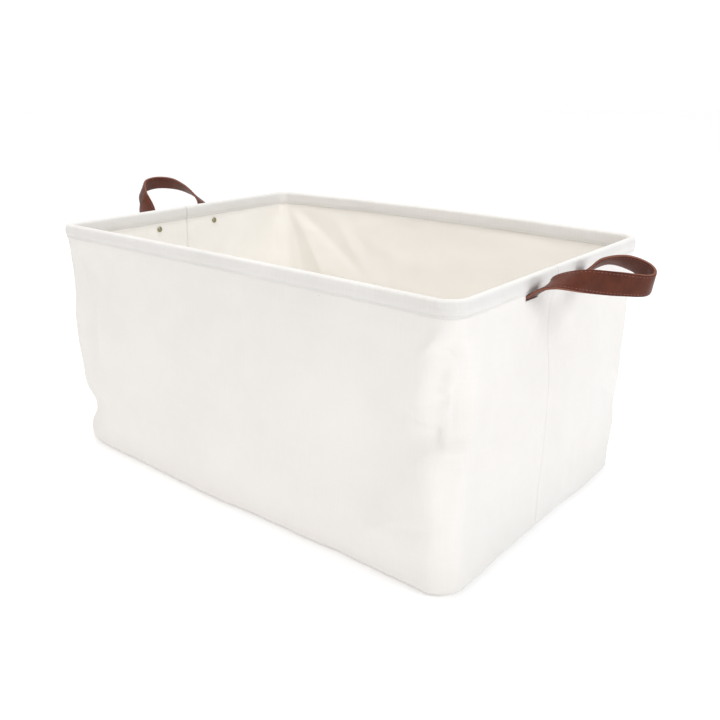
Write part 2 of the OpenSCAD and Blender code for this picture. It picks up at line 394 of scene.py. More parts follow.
# Vertex group that holds the share of a sheet's thickness that each point has
FULL = "full_thickness"


def thicken(obj, thickness):
    """Gives a sheet its thickness, behind the face that it has."""
    solid = obj.modifiers.new("thickness", "SOLIDIFY")
    solid.thickness = thickness
    solid.offset = -1
    solid.use_even_offset = True
    if FULL in obj.vertex_groups:
        solid.vertex_group = FULL
        solid.thickness_vertex_group = 0.0


def loft(rings, close_ends=True, marks=None):
    """A tube through closed rings of points, each with as many points. marks gives each point of a ring its
    number for the attribute 'across'."""
    bm = bmesh.new()
    layer = bm.verts.layers.float.new("across") if marks else None
    bmesh.ops.create_circle(bm, segments=len(rings[0]), radius=1.0)
    bm.verts.ensure_lookup_table()
    verts, edges = bm.verts[:], bm.edges[:]
    first = edges
    for i, ring in enumerate(rings):
        if i:
            grown = bmesh.ops.extrude_edge_only(bm, edges=edges)["geom"]
            new_verts = {v for v in grown if isinstance(v, bmesh.types.BMVert)}
            beside = {}
            for v in verts:
                for edge in v.link_edges:
                    other = edge.other_vert(v)
                    if other in new_verts:
                        beside[v] = other
            verts = [beside[v] for v in verts]
            edges = [g for g in grown if isinstance(g, bmesh.types.BMEdge)
                     and g.verts[0] in new_verts and g.verts[1] in new_verts]
        for k, (v, point) in enumerate(zip(verts, ring)):
            v.co = point
            if marks:
                v[layer] = marks[k]
    if close_ends:
        for loop in (first, edges):
            bmesh.ops.holes_fill(bm, edges=loop, sides=0)
    bmesh.ops.recalc_face_normals(bm, faces=bm.faces)
    return bm


# ---- Outline of the bin ----

# Straight lengths and corner of the outline of the outside of the rim band
STRAIGHT_Y = BIN_W - 2 * CORNER_R
STRAIGHT_X = BIN_L - 2 * CORNER_R
ARC = CORNER_R * math.pi / 2
ROUND = 2 * (STRAIGHT_X + STRAIGHT_Y) + 4 * ARC


def along_left(y):
    """Distance along the outline, which starts behind the left wall and runs past the front."""
    return STRAIGHT_Y / 2 - y


def along_front(x):
    return STRAIGHT_Y + ARC + STRAIGHT_X / 2 + x


def along_right(y):
    return 1.5 * STRAIGHT_Y + 2 * ARC + STRAIGHT_X + y


def along_back(x):
    return 2 * STRAIGHT_Y + 3 * ARC + 1.5 * STRAIGHT_X - x


LEFT_SEAM = along_left(SEAM_Y[LEFT])
RIGHT_SEAM = along_right(SEAM_Y[RIGHT])
CORNER_LF = STRAIGHT_Y + ARC / 2
CORNER_RF = STRAIGHT_Y + ARC + STRAIGHT_X + ARC / 2
CORNER_RB = 2 * STRAIGHT_Y + 2 * ARC + STRAIGHT_X + ARC / 2
CORNER_LB = 2 * STRAIGHT_Y + 3 * ARC + 2 * STRAIGHT_X + ARC / 2


# How square each corner of the outline is: 2 is round. The left front one is pulled out to a point.
SQUARENESS = {(-1, -1): 6.0, (1, -1): 2.0, (1, 1): 2.0, (-1, 1): 3.0}


def outline(s, inset=0.0):
    """(point, outward direction) on the outline at distance s along it, moved inwards by inset."""
    s %= ROUND
    x, y, r = BIN_L / 2, BIN_W / 2, CORNER_R
    cx, cy = x - r, y - r
    for length, start, direction, out, centre in (
        (STRAIGHT_Y, (-x, cy), (0, -1), (-1, 0), (-cx, -cy)),
        (STRAIGHT_X, (-cx, -y), (1, 0), (0, -1), (cx, -cy)),
        (STRAIGHT_Y, (x, -cy), (0, 1), (1, 0), (cx, cy)),
        (STRAIGHT_X, (cx, y), (-1, 0), (0, 1), (-cx, cy)),
    ):
        n = Vector((*out, 0))
        if s <= length:
            return Vector((*start, 0)) + Vector((*direction, 0)) * s - n * inset, n
        s -= length
        if s <= ARC:
            turned = Matrix.Rotation(s / r, 3, "Z") @ n
            power = SQUARENESS[math.copysign(1, centre[0]), math.copysign(1, centre[1])]
            reach = (abs(turned.x) ** power + abs(turned.y) ** power) ** (-1 / power)
            return Vector((*centre, 0)) + turned * (r - inset) * reach, turned
        s -= ARC
    return outline(0, inset)


def near(s, where):
    """Shortest distance from s to a place on the outline, with its sign."""
    return (s - where + ROUND / 2) % ROUND - ROUND / 2


# ---- How the cloth hangs ----


def bell(distance, width):
    return math.exp(-((distance / width) ** 2))


def step(low, high, value):
    share = min(max((value - low) / (high - low), 0), 1)
    return share * share * (3 - 2 * share)


# Broad swells of the cloth: place along the outline, height, half width, half height, outward rise
SWELLS = [
    (along_front(-0.09), 0.035, 0.20, 0.075, 0.0065),
    (along_front(0.06), 0.165, 0.15, 0.10, 0.0030),
    (along_front(0.185), 0.125, 0.050, 0.075, -0.0095),
    (along_front(0.268), 0.165, 0.014, 0.016, -0.0045),
    (along_front(0.274), 0.225, 0.016, 0.014, -0.0040),
    (along_front(0.225), 0.055, 0.050, 0.030, 0.0055),
    (along_front(-0.215), 0.150, 0.05, 0.09, 0.0040),
    (along_right(-0.10), 0.16, 0.08, 0.09, 0.0030),
    (along_right(-0.145), 0.035, 0.05, 0.03, 0.0035),
    (along_right(-0.018), 0.238, 0.055, 0.035, -0.0038),
    (along_right(0.09), 0.12, 0.07, 0.09, 0.0035),
    (along_right(0.03), 0.05, 0.06, 0.04, -0.0025),
    (along_left(0.05), 0.12, 0.10, 0.09, 0.0035),
    (along_left(-0.11), 0.10, 0.05, 0.07, -0.0025),
    (along_back(0.12), 0.13, 0.12, 0.08, -0.0040),
    (along_back(-0.06), 0.10, 0.13, 0.08, 0.0040),
    (along_back(-0.19), 0.20, 0.05, 0.07, -0.0030),
    (CORNER_LF - 0.020, 0.160, 0.032, 0.065, 0.0130),
    (along_front(-0.283), 0.160, 0.030, 0.100, -0.0060),
    (CORNER_LF - 0.006, 0.052, 0.035, 0.018, -0.0130),
    (CORNER_RB, 0.090, 0.020, 0.016, -0.0040),
    (CORNER_LB, 0.14, 0.03, 0.05, -0.0030),
]

# Creases: the two ends as (place along the outline, height), outward rise, and the width on each side
CREASES = [
    ((along_front(-0.280), 0.278), (along_front(-0.243), 0.205), 0.0022, 0.005, 0.016),
    ((along_front(-0.243), 0.205), (along_front(-0.245), 0.120), 0.0020, 0.012, 0.006),
    ((along_front(-0.262), 0.262), (along_front(-0.225), 0.232), -0.0012, 0.006, 0.008),
    ((CORNER_LF + 0.006, 0.085), (along_front(-0.235), 0.062), -0.0018, 0.006, 0.010),
    ((CORNER_LF + 0.004, 0.062), (along_front(-0.255), 0.030), 0.0016, 0.006, 0.010),
    ((along_front(0.285), 0.277), (along_front(0.262), 0.246), 0.0024, 0.008, 0.004),
    ((along_front(0.270), 0.262), (along_right(-0.170), 0.240), -0.0030, 0.007, 0.006),
    ((along_front(0.255), 0.226), (along_right(-0.176), 0.206), 0.0024, 0.006, 0.009),
    ((along_front(0.262), 0.196), (along_right(-0.170), 0.214), -0.0022, 0.005, 0.006),
    ((along_front(0.242), 0.188), (along_front(0.285), 0.166), -0.0030, 0.004, 0.007),
    ((along_front(0.268), 0.172), (along_right(-0.182), 0.150), 0.0028, 0.007, 0.005),
    ((along_front(0.258), 0.150), (along_front(0.268), 0.095), 0.0022, 0.010, 0.014),
    ((along_front(0.230), 0.062), (along_front(0.290), 0.074), -0.0030, 0.010, 0.010),
    ((along_front(0.205), 0.050), (along_front(0.255), 0.078), 0.0018, 0.008, 0.010),
    ((along_right(-0.182), 0.214), (along_right(-0.178), 0.168), -0.0016, 0.006, 0.004),
    ((along_right(-0.160), 0.110), (along_right(-0.120), 0.070), -0.0012, 0.010, 0.014),
    ((along_right(0.050), 0.105), (along_right(0.056), 0.025), 0.0014, 0.004, 0.010),
    ((along_right(0.128), 0.128), (along_right(0.172), 0.104), -0.0026, 0.006, 0.009),
    ((along_right(0.150), 0.150), (along_right(0.172), 0.128), 0.0018, 0.006, 0.009),
    ((along_back(-0.272), 0.272), (along_back(-0.190), 0.150), -0.0030, 0.008, 0.016),
    ((along_back(-0.278), 0.262), (along_back(-0.236), 0.120), 0.0026, 0.008, 0.014),
    ((along_back(-0.262), 0.276), (along_back(-0.140), 0.195), 0.0022, 0.010, 0.018),
    ((along_back(-0.180), 0.262), (along_back(-0.120), 0.190), -0.0020, 0.010, 0.016),
    ((along_back(0.250), 0.255), (along_back(0.205), 0.190), -0.0018, 0.008, 0.012),
    ((along_left(-0.155), 0.200), (along_left(-0.120), 0.140), 0.0016, 0.008, 0.012),
    ((along_left(0.160), 0.110), (along_left(0.120), 0.075), -0.0020, 0.008, 0.010),
    ((along_back(0.10), 0.060), (along_back(0.16), 0.030), -0.0018, 0.008, 0.010),
]

# Small unevenness all over: height and fineness
RIPPLES = [(0.0022, 11), (0.0010, 31), (0.00035, 80)]

# Corners that the cloth cuts straight across: place, and from the top down, the height and how far back from
# the square corner the cut starts
CORNER_CUTS = [
    (CORNER_RF, [(0.30, 0.010), (0.270, 0.013), (0.250, 0.026), (0.204, 0.036), (0.168, 0.034),
                 (0.150, 0.026), (0.105, 0.022), (0.070, 0.020), (0.035, 0.018), (0.0, 0.016)]),
    (CORNER_LF, [(0.30, 0.004), (0.090, 0.004), (0.060, 0.012), (0.0, 0.013)]),
    (CORNER_RB, [(0.30, 0.010), (0.200, 0.014), (0.100, 0.016), (0.060, 0.018), (0.0, 0.026)]),
    (CORNER_LB, [(0.30, 0.010), (0.220, 0.016), (0.100, 0.020), (0.0, 0.020)]),
]


def profile(stops, z):
    """Value at height z of a line through stops, which go down."""
    for (z1, v1), (z0, v0) in zip(stops, stops[1:]):
        if z >= z0:
            return v0 + (v1 - v0) * step(z0, z1, z)
    return stops[-1][1]


def crease_rise(s, z, a, b, rise, above, below):
    """Rise of a ridge from a to b at a point. above and below are how far it falls off on each side."""
    au, av = near(s, a[0]), z - a[1]
    du, dv = near(b[0], a[0]), b[1] - a[1]
    length = math.hypot(du, dv)
    t = min(max((au * du + av * dv) / length**2, -0.25), 1.25)
    off_u, off_v = au - t * du, av - t * dv
    side = (du * off_v - dv * off_u) / length
    distance = math.hypot(off_u, off_v)
    width = above if side > 0 else below
    taper = step(-0.25, 0.3, t) * (1 - step(0.7, 1.25, t))
    return rise * taper * math.exp(-((distance / width) ** 1.3))


def held(s, z):
    """1 where the cloth is free, 0 where the rim, a strap or a rivet holds it."""
    free = 1 - step(0.262, 0.281, z)
    for side, along in ((LEFT, along_left), (RIGHT, along_right)):
        for end in (FRONT, BACK):
            root = along(SEAM_Y[side] + end * ROOT_HALF)
            reach = math.hypot(near(s, root), (z - RIVET_Z) * 0.8)
            free = min(free, step(0.016, 0.040, reach))
    return free


def sag(s, z):
    """How far the cloth stands out from a flat wall."""
    rise = 0.0
    for at, height, wide, tall, out in SWELLS:
        rise += out * bell(near(s, at), wide) * bell(z - height, tall)
    for a, b, out, above, below in CREASES:
        if abs(near(s, (a[0] + near(b[0], a[0]) / 2))) < 0.12:
            rise += crease_rise(s, z, a, b, out, above, below)
    turn = 2 * math.pi * s / ROUND
    spot = Vector((math.cos(turn) * 0.31, math.sin(turn) * 0.31, z))
    for height, fineness in RIPPLES:
        rise += height * noise.noise(spot * fineness)
    return rise * held(s, z)


def cut_corner(s, z, inset):
    """How far the cloth is drawn in where it cuts across a corner."""
    for at, stops in CORNER_CUTS:
        away = near(s, at)
        if abs(away) < 0.08:
            reach = profile(stops, z)
            point, out = outline(s, inset)
            diagonal = outline(at)[1]
            limit = ((BIN_L + BIN_W) / 2 - reach) / math.sqrt(2) - inset
            over = point.dot(diagonal) - limit
            blend = 0.0022
            soft = blend * math.log1p(math.exp(min(over / blend, 40)))
            return soft / max(out.dot(diagonal), 0.5) * (1 - step(0.268, 0.284, z))
    return 0.0


def rim_lift(s):
    """(outward, upward) bow of the rim itself: the far long side stands out and up a little."""
    back = max(0.0, 1 - (near(s, along_back(0)) / (STRAIGHT_X / 2)) ** 2)
    front = max(0.0, 1 - (near(s, along_front(0)) / (STRAIGHT_X / 2)) ** 2)
    return 0.0055 * back - 0.0008 * front, 0.0022 * back + 0.0006 * front


def on_wall(s, inset, z):
    """Point of a wall cloth at that depth and height."""
    z_cloth = max(z, 0.0)
    point, out = outline(s, inset)
    bow, lift = rim_lift(s)
    top = step(0.05, 0.29, z_cloth)
    rise = sag(s, z_cloth) - cut_corner(s, z_cloth, inset) + bow * top
    return point + out * rise + Vector((0, 0, z + lift * top))


# ---- Canvas and lining ----

# Cloth turned in at a seam, at a band's end and at a long edge, and under the base
SEAM_TURNING, BAND_TURNING, EDGE_TURNING = 0.008, 0.010, 0.012
BASE_LAP = 0.006


def bend_under(t, inset, bottom, radius):
    """(inset, height) at a distance t up a wall cloth, which turns in under the bin at its lower edge."""
    arc = radius * math.pi / 2
    if t >= radius:
        return inset, bottom + t
    turned = (radius - t) / radius
    if radius - t <= arc:
        return inset + radius * (1 - math.cos(turned)), bottom + radius * (1 - math.sin(turned))
    return inset + radius + (radius - t - arc), bottom


def wall_panel(name, start, end, inset, bottom, radius, cell, material, slits, lap, tuck):
    """One wall cloth, cut flat, slit for the straps, then hung round the bin, and the size it was cut to.

    Its two ends reach past the seams by lap and lie deeper by tuck where the two halves lap. The half that
    lies on top, with no lap, thins out."""
    start, end = start - lap, end + lap
    length = near(end, start) % ROUND
    low, high = radius - radius * math.pi / 2 - BASE_LAP, LAYERS_TOP - bottom
    bm = bmesh.new()
    bmesh.ops.create_grid(bm, x_segments=round(length / cell), y_segments=round((high - low) / cell),
                          size=0.5, calc_uvs=True)
    bmesh.ops.scale(bm, vec=(length, high - low, 1), verts=bm.verts)
    bmesh.ops.translate(bm, vec=(length / 2, (high + low) / 2, 0), verts=bm.verts)
    for slit in slits:
        middle = near(slit, start) % ROUND
        cuts = [((middle - SLIT_HALF, 0, 0), (1, 0, 0)), ((middle + SLIT_HALF, 0, 0), (1, 0, 0)),
                ((0, SLIT_LOW - bottom, 0), (0, 1, 0)), ((0, SLIT_HIGH - bottom, 0), (0, 1, 0))]
        for place, normal in cuts:
            bmesh.ops.bisect_plane(bm, geom=bm.verts[:] + bm.edges[:] + bm.faces[:], dist=1e-6,
                                   plane_co=place, plane_no=normal)
        opened = []
        for face in bm.faces:
            centre = face.calc_center_median()
            inside = abs(centre.x - middle) < SLIT_HALF
            if inside and SLIT_LOW < centre.y + bottom < SLIT_HIGH:
                opened.append(face)
        bmesh.ops.delete(bm, geom=opened, context="FACES")
    uv = bm.loops.layers.uv.new("cloth")
    for face in bm.faces:
        for loop in face.loops:
            across, up = loop.vert.co.xy
            loop[uv].uv = (start + across, up)
    shares = []
    for v in bm.verts:
        s = start + v.co.x
        to_end = min(v.co.x, length - v.co.x)
        thin = 0.0 if lap else FEATHER * (1 - step(0, LAP, to_end))
        shares.append(1 - thin)
        lapped = inset + tuck * (1 - step(LAP, 3 * LAP, to_end)) + max(-2 * tuck, 0) * thin
        deep, z = bend_under(v.co.y, lapped, bottom + abs(lapped - inset), radius)
        v.co = on_wall(s, deep, z)
    obj = piece(name, bm, material)
    group = obj.vertex_groups.new(name=FULL)
    for i, share in enumerate(shares):
        group.add([i], share, "REPLACE")
    return obj, (length + 2 * SEAM_TURNING, high - low + EDGE_TURNING)


def along_edge(place):
    """Distance along the outline of a place on a base cloth's edge."""
    over_x = abs(place.x) - STRAIGHT_X / 2
    over_y = abs(place.y) - STRAIGHT_Y / 2
    if over_x > 0 and over_y > 0:
        middle, first = {
            (-1, -1): (CORNER_LF, over_x), (1, -1): (CORNER_RF, over_y),
            (1, 1): (CORNER_RB, over_x), (-1, 1): (CORNER_LB, over_y),
        }[math.copysign(1, place.x), math.copysign(1, place.y)]
        second = over_x + over_y - first
        return middle + (math.atan2(second, first) - math.pi / 4) * CORNER_R
    if over_x > over_y:
        return along_left(place.y) if place.x < 0 else along_right(place.y)
    return along_front(place.x) if place.y < 0 else along_back(place.x)


def base_panel(name, inset, bottom, lift, material):
    """A base cloth with the bin's outline, whose edge follows the walls."""
    x, y, r = BIN_L / 2 - inset, BIN_W / 2 - inset, CORNER_R - inset
    bm = bmesh.new()
    bmesh.ops.create_grid(bm, x_segments=72, y_segments=48, size=0.5)
    bmesh.ops.scale(bm, vec=(2 * x, 2 * y, 1), verts=bm.verts)
    uv = bm.loops.layers.uv.new("cloth")
    for face in bm.faces:
        for loop in face.loops:
            loop[uv].uv = loop.vert.co.xy
    for v in bm.verts:
        over = Vector((abs(v.co.x) - x + r, abs(v.co.y) - y + r))
        if over.x > 0 and over.y > 0:
            over *= max(over) / over.length
            v.co.x = math.copysign(x - r + over.x, v.co.x)
            v.co.y = math.copysign(y - r + over.y, v.co.y)
        if v.is_boundary:
            v.co = on_wall(along_edge(v.co), inset, 0.0)
        else:
            v.co.z = lift * (0.5 + noise.noise(Vector((v.co.x * 9, v.co.y * 9, lift * 900))))
        v.co.z += bottom
    inner = [v for v in bm.verts if not v.is_boundary]
    for _ in range(12):
        bmesh.ops.smooth_vert(bm, verts=inner, factor=0.5, use_axis_x=True, use_axis_y=True, use_axis_z=True)
    bmesh.ops.reverse_faces(bm, faces=bm.faces)
    return piece(name, bm, material)


ROOTS = {
    (side, end): along(SEAM_Y[side] + end * ROOT_HALF)
    for side, along in ((LEFT, along_left), (RIGHT, along_right)) for end in (FRONT, BACK)
}
# Radius of the turn under the bin, and height of the lining's lower edge
BOTTOM_R = 0.009
LINING_BOTTOM_R = BOTTOM_R - (LINING_IN - CANVAS_IN)
LINING_LOW = 0.0014
# Between the halves at a seam, the length of a lap, and between the cloths in it
SEAM_GAP = 0.00003
LAP = 0.004
LAP_GAP = 0.00005
# How much of its thickness the upper cloth loses at its end in a lap
FEATHER = 0.9
CANVAS_CELL, LINING_CELL = 0.0035, 0.005

panels = {}
for half, start, end, slits in (
    ("front", LEFT_SEAM + SEAM_GAP, RIGHT_SEAM - SEAM_GAP, (ROOTS[LEFT, FRONT], ROOTS[RIGHT, FRONT])),
    ("back", RIGHT_SEAM + SEAM_GAP, LEFT_SEAM - SEAM_GAP, (ROOTS[RIGHT, BACK], ROOTS[LEFT, BACK])),
):
    under = half == "back"
    lap = LAP * under
    panels["canvas", half] = wall_panel(
        f"canvas_{half}", start, end, CANVAS_IN, 0.0, BOTTOM_R, CANVAS_CELL, CANVAS, slits, lap,
        (CANVAS_T / 2 + LAP_GAP) * (1 if under else -1))
    thicken(panels["canvas", half][0], CANVAS_T)
    panels["lining", half] = wall_panel(
        f"lining_{half}", start, end, LINING_IN, LINING_LOW, LINING_BOTTOM_R, LINING_CELL, LINING, (), lap,
        (LINING_T / 2 + LAP_GAP) * (-1 if under else 1))
    thicken(panels["lining", half][0], LINING_T)

canvas_base = base_panel("canvas_base", CANVAS_IN + BOTTOM_R - 0.002, 0.0013, 0.0, CANVAS)
lining_bottom = base_panel("lining_bottom", LINING_IN + LINING_BOTTOM_R - 0.001, 0.0028, 0.0018, LINING)
thicken(canvas_base, CANVAS_T)
thicken(lining_bottom, LINING_T)

# ---- Rim band, wire and sleeve ----

ROLL_ARC = math.pi * ROLL_R
OUT_LEG = WIRE_Z - (BIN_H - BAND_OUT_H)
IN_LEG = WIRE_Z - (BIN_H - BAND_IN_H)
# Distance of each row of stitches from the band's edge
BAND_ROW_IN = 0.0022


def band_place(t):
    """(depth, height) across the rim band: up its outer leg, over the roll and down its inner leg."""
    if t < OUT_LEG:
        swell = 0.0007 * math.sin(math.pi * min(max((t - 0.003) / (OUT_LEG - 0.003), 0), 1))
        pinch = 0.0004 * bell(t - BAND_ROW_IN, 0.0009)
        return pinch - swell, BIN_H - BAND_OUT_H + t
    if t < OUT_LEG + ROLL_ARC:
        turn = (t - OUT_LEG) / ROLL_R
        return ROLL_R - ROLL_R * math.cos(turn), WIRE_Z + ROLL_R * math.sin(turn)
    down = t - OUT_LEG - ROLL_ARC
    left = IN_LEG - down
    pinch = 0.0004 * bell(left - BAND_ROW_IN, 0.0009)
    return WALL_T - pinch + 0.0003 * math.sin(math.pi * min(down / IN_LEG, 1)), WIRE_Z - down


def rim_point(s, deep, z):
    point, out = outline(s, deep)
    bow, lift = rim_lift(s)
    top = step(0.05, 0.29, z)
    return point + out * bow * top + Vector((0, 0, z + lift * top))


def rim_band(name, start, end):
    length = near(end, start) % ROUND
    width = OUT_LEG + ROLL_ARC + IN_LEG
    bm = bmesh.new()
    bmesh.ops.create_grid(bm, x_segments=round(length / 0.003), y_segments=34, size=0.5)
    bmesh.ops.scale(bm, vec=(length, width, 1), verts=bm.verts)
    bmesh.ops.translate(bm, vec=(length / 2, width / 2, 0), verts=bm.verts)
    uv = bm.loops.layers.uv.new("cloth")
    for face in bm.faces:
        for loop in face.loops:
            across, up = loop.vert.co.xy
            loop[uv].uv = (start + across, up)
    for v in bm.verts:
        s = start + v.co.x
        deep, z = band_place(v.co.y)
        ripple = noise.noise(Vector((s * 60, v.co.y * 90, 3.0)))
        edge = 0.0006 * noise.noise(Vector((s * 45, 7.0, 1.0))) * (1 - step(0.0, 0.006, v.co.y))
        outward = 0.00035 * ripple * (1 if deep < ROLL_R else -1)
        v.co = rim_point(s, deep - outward, z + edge)
    return piece(name, bm, RIM_BAND), (length + 2 * BAND_TURNING, width + EDGE_TURNING)


band_front, band_front_cut = rim_band("band_front", LEFT_SEAM + SEAM_GAP, RIGHT_SEAM - SEAM_GAP)
band_back, band_back_cut = rim_band("band_back", RIGHT_SEAM + SEAM_GAP, LEFT_SEAM - SEAM_GAP)
thicken(band_front, BAND_T)
thicken(band_back, BAND_T)


def wire_ring(centre, ahead, radius, count):
    """Points of a round section about centre, square to the way ahead."""
    side = ahead.cross(Vector((0, 0, 1))).normalized()
    up = side.cross(ahead).normalized()
    return [centre + radius * (side * math.cos(a) + up * math.sin(a))
            for a in (2 * math.pi * k / count for k in range(count))]


def rim_tube(name, start, length, inner, outer, material):
    stations = max(round(length / 0.006), 8)
    rings = []
    for k in range(stations + 1):
        s = start + length * k / stations
        here = rim_point(s, ROLL_R, WIRE_Z)
        ahead = rim_point(s + 0.001, ROLL_R, WIRE_Z) - rim_point(s - 0.001, ROLL_R, WIRE_Z)
        rings.append(wire_ring(here, ahead, outer, 16))
        if inner and k in (0, stations):
            rings.append(wire_ring(here, ahead, inner, 16))
    if inner:  # a sleeve: out along its outside and back along its bore
        rings = [rings[1]] + [rings[0]] + rings[2:-1] + [rings[-1]]
        bm = loft(rings, close_ends=False)
        ends = [e for e in bm.edges if e.is_boundary]
        bmesh.ops.bridge_loops(bm, edges=ends)
        bmesh.ops.recalc_face_normals(bm, faces=bm.faces)
        return piece(name, bm, material)
    return piece(name, loft(rings), material)


wire = rim_tube("rim_spring_wire", along_back(0) + 0.0003, ROUND - 0.0006, 0, WIRE_D / 2, STEEL)
sleeve = rim_tube("crimped_sleeve", along_back(0.02), 0.04, WIRE_D / 2 + 0.00005, WIRE_D / 2 + 0.0005, STEEL)

# ---- Straps ----

# Middle of each free strap: distance out from the wall, place along the wall in halves of the root spacing,
# height over the slits, and twist in degrees, 90 where it lies flat
ROUTES = {
    LEFT: [
        (13, -1, 9, 90), (29, -0.85, 18, 58), (50, -0.63, 30, 24), (70, -0.32, 42, 28), (71, 0.14, 47, 38),
        (58, 0.56, 45, 44), (41, 0.8, 37, 55), (24, 0.95, 24, 68), (13, 1, 9, 90),
    ],
    RIGHT: [
        (11, -1, 10, 90), (22, -0.94, 17, 74), (43, -0.6, 18, 33), (66, -0.17, 15, 0), (86, 0.33, 12, -15),
        (79, 0.74, 17, 8), (54, 0.96, 23, 38), (28, 1.02, 21, 70), (11, 1, 10, 90),
    ],
}
ROUTE_STEPS = 10
STRAP_IN = 0.0033


def spline(a, b, c, d, f):
    square = 2 * a - 5 * b + 4 * c - d
    cube = 3 * b - a - 3 * c + d
    return 0.5 * (2 * b + (c - a) * f + square * f**2 + cube * f**3)


def spline_slope(a, b, c, d, f):
    return 0.5 * ((c - a) + 2 * (2 * a - 5 * b + 4 * c - d) * f + 3 * (3 * b - a - 3 * c + d) * f**2)


def free_stations(side):
    """(middle, along, across, out) at each station of the free strap, from its front root to its back."""
    points = [Vector((side * (BIN_L / 2 + o / 1000), SEAM_Y[side] + p * ROOT_HALF, EXIT_Z + h / 1000, twist))
              for o, p, h, twist in ROUTES[side]]

    def past(root, following):
        beyond = 2 * root - following
        beyond.y = following.y
        return beyond

    points = [past(points[0], points[1])] + points + [past(points[-1], points[-2])]
    stations = []
    for i in range(len(points) - 3):
        last = i == len(points) - 4
        for k in range(ROUTE_STEPS + (1 if last else 0)):
            f = k / ROUTE_STEPS
            four = points[i:i + 4]
            middle = spline(*four, f)
            along = spline_slope(*four, f).to_3d().normalized()
            upright = (Vector((0, 0, 1)) - along.z * along).normalized()
            sideways = along.cross(upright) * -side
            twist = math.radians(middle.w)
            across = math.cos(twist) * upright + math.sin(twist) * sideways
            stations.append((middle.to_3d(), along, across, along.cross(across) * side))
    return stations


def hidden_stations(side, end, root):
    """Stations of the strap end between canvas and lining, from its lower end to just short of the hinge."""
    middle = STRAP_IN + LEATHER_T
    path = [Vector((middle, EXIT_Z - 0.018)), Vector((middle, EXIT_Z - 0.0025)),
            Vector((CANVAS_IN + CANVAS_T, EXIT_Z)), Vector((BIN_L / 2 - abs(root.x), root.z))]
    for _ in range(3):  # rounds the two bends
        cut = [path[0]]
        for a, b in zip(path, path[1:]):
            cut += [a.lerp(b, 0.25), a.lerp(b, 0.75)]
        path = cut + [path[-1]]
    points = [Vector((side * (BIN_L / 2 - p.x), root.y, p.y)) for p in path]
    stations = []
    for i in range(len(points) - 1):
        along = (points[min(i + 1, len(points) - 1)] - points[max(i - 1, 0)]).normalized()
        across = Vector((0, 1, 0))
        stations.append((points[i], along, across, along.cross(across) * side))
    if end == BACK:  # the strap comes down this one
        stations = [(p, -along, -across, out) for p, along, across, out in reversed(stations)]
    return stations


def strap_stations(side):
    free = free_stations(side)
    return (hidden_stations(side, FRONT, free[0][0]) + free + hidden_stations(side, BACK, free[-1][0]))


# Stitches on the straps: distance from the edge, pitch, length and radius of the thread
STITCH_IN, STITCH_PITCH, STITCH_L, STITCH_R = 0.0023, 0.0036, 0.0028, 0.00032
HALF = STRAP_W / 2
# Section of a leather layer from edge to edge: place across, and how much of its thickness is left there
LEATHER_SECTION = [
    (-HALF, 0.62), (-HALF + 0.0003, 0.86), (-HALF + 0.0010, 0.97), (-HALF + STITCH_IN - 0.0006, 1.0),
    (-HALF + STITCH_IN, 0.88), (-HALF + STITCH_IN + 0.0006, 1.0), (-0.006, 1.03), (-0.002, 1.045),
    (0.002, 1.045), (0.006, 1.03), (HALF - STITCH_IN - 0.0006, 1.0), (HALF - STITCH_IN, 0.88),
    (HALF - STITCH_IN + 0.0006, 1.0), (HALF - 0.0010, 0.97), (HALF - 0.0003, 0.86), (HALF, 0.62),
]
LAYER_GAP = 0.00005


def strap_layer(name, stations, face, material):
    """One leather layer, on the outer (face 1) or inner (face -1) side of the strap's middle."""
    section = [(u, LEATHER_T * share) for u, share in LEATHER_SECTION]
    section += [(u, LAYER_GAP) for u in (HALF, 0.004, -0.004, -HALF)]
    rings = [
        [middle + across * u + out * (h * face) for u, h in section]
        for middle, _, across, out in stations
    ]
    marks = [u / HALF for u, _ in section]
    return piece(name, loft(rings, marks=marks), material)


def add_stitch(bm, place, along, out, length, radius):
    side = along.cross(out).normalized()
    turn = Matrix((along * length / 2, side * radius, out * radius * 0.7)).transposed().to_4x4()
    bmesh.ops.create_icosphere(bm, subdivisions=1, radius=1.0, matrix=Matrix.Translation(place) @ turn)


def strap_thread(name, stations):
    """Stitches along both edges, on the outside and the inside of the strap."""
    bm = bmesh.new()
    lengths = [0.0]
    for a, b in zip(stations, stations[1:]):
        lengths.append(lengths[-1] + (b[0] - a[0]).length)
    pitch = STITCH_PITCH
    for k in range(1, int(lengths[-1] / pitch)):
        want = k * pitch
        i = max(j for j, at in enumerate(lengths[:-1]) if at <= want)
        f = (want - lengths[i]) / (lengths[i + 1] - lengths[i])
        a, b = stations[i], stations[i + 1]
        middle, along = a[0].lerp(b[0], f), a[1].lerp(b[1], f).normalized()
        across, out = a[2].lerp(b[2], f).normalized(), a[3].lerp(b[3], f).normalized()
        for edge in (-1, 1):
            for face in (-1, 1):
                raised = out * face * (LEATHER_T * 0.88 + 0.00012)
                place = middle + across * edge * (HALF - STITCH_IN) + raised
                add_stitch(bm, place, along, out, STITCH_L, STITCH_R)
    return piece(name, bm, RED_THREAD)


HANDLES = {LEFT: "left", RIGHT: "right"}
for side, word in HANDLES.items():
    stations = strap_stations(side)
    free = free_stations(side)
    root = free[0][0]
    outer = strap_layer(f"{word}_strap_outer", stations, 1, LEATHER_OUTER)
    inner = strap_layer(f"{word}_strap_inner", stations, -1, LEATHER_INNER)
    thread = strap_thread(f"{word}_strap_thread", free[1:-1])
    for obj, layer in ((outer, "outer"), (inner, "inner")):
        root.x - side * 0.0095
        root.x + side * 0.0035
        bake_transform(obj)
        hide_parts(f"{word}_strap_{layer}_layer", f"{word}_front_end_{layer}_layer",
                    f"{word}_back_end_{layer}_layer")
    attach(thread, f"{word}_handle")

# ---- Rivets ----


